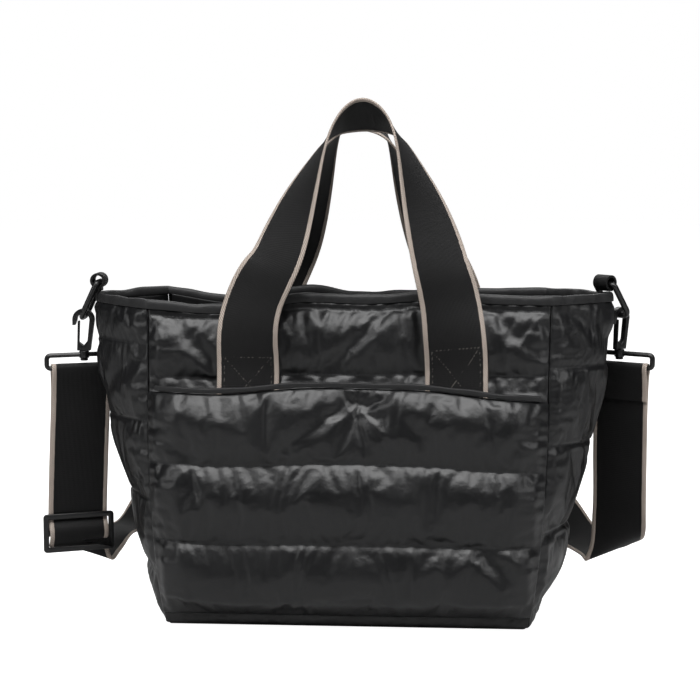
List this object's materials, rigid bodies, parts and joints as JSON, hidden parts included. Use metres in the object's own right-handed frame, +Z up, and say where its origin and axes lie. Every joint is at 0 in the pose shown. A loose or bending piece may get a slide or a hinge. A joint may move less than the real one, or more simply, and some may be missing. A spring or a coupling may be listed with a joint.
{
  "type": "quilted tote bag",
  "caption": "Open-topped quilted puffer tote bag with a padded front pocket, two webbing handles and a clip-on adjustable shoulder strap.",
  "frame": {"origin": "middle of the base, on the surface that the bag stands on", "axes": "+Z up, -Y towards the side with the pocket, +X to the right as seen from the front"},
  "size_m": [0.5114, 0.1963, 0.4268],
  "materials": {
    "puffer_nylon": "thin shiny black nylon, quilted and padded",
    "binding_tape": "matte black folded tape",
    "webbing": "heavy black webbing with a pale woven stripe at each edge",
    "hardware": "moulded black plastic, half matte"
  },
  "bodies": {
    "root": {"front_panel": "puffer_nylon", "right_gusset": "puffer_nylon", "back_panel": "puffer_nylon", "left_gusset": "puffer_nylon", "base_panel": "puffer_nylon", "mouth_binding": "binding_tape", "front_facing": "binding_tape", "back_facing": "binding_tape", "front_pocket": "puffer_nylon", "pocket_binding": "binding_tape", "pocket_snap": "hardware", "front_handle": "webbing", "back_handle": "webbing", "left_tab": "webbing", "left_ring": "hardware", "left_snap_hook": "hardware", "left_strap_loop": "hardware", "right_tab": "webbing", "right_ring": "hardware", "right_snap_hook": "hardware", "right_strap_loop": "hardware", "strap_slider": "hardware", "shoulder_strap": "webbing"}
  },
  "joints": []
}
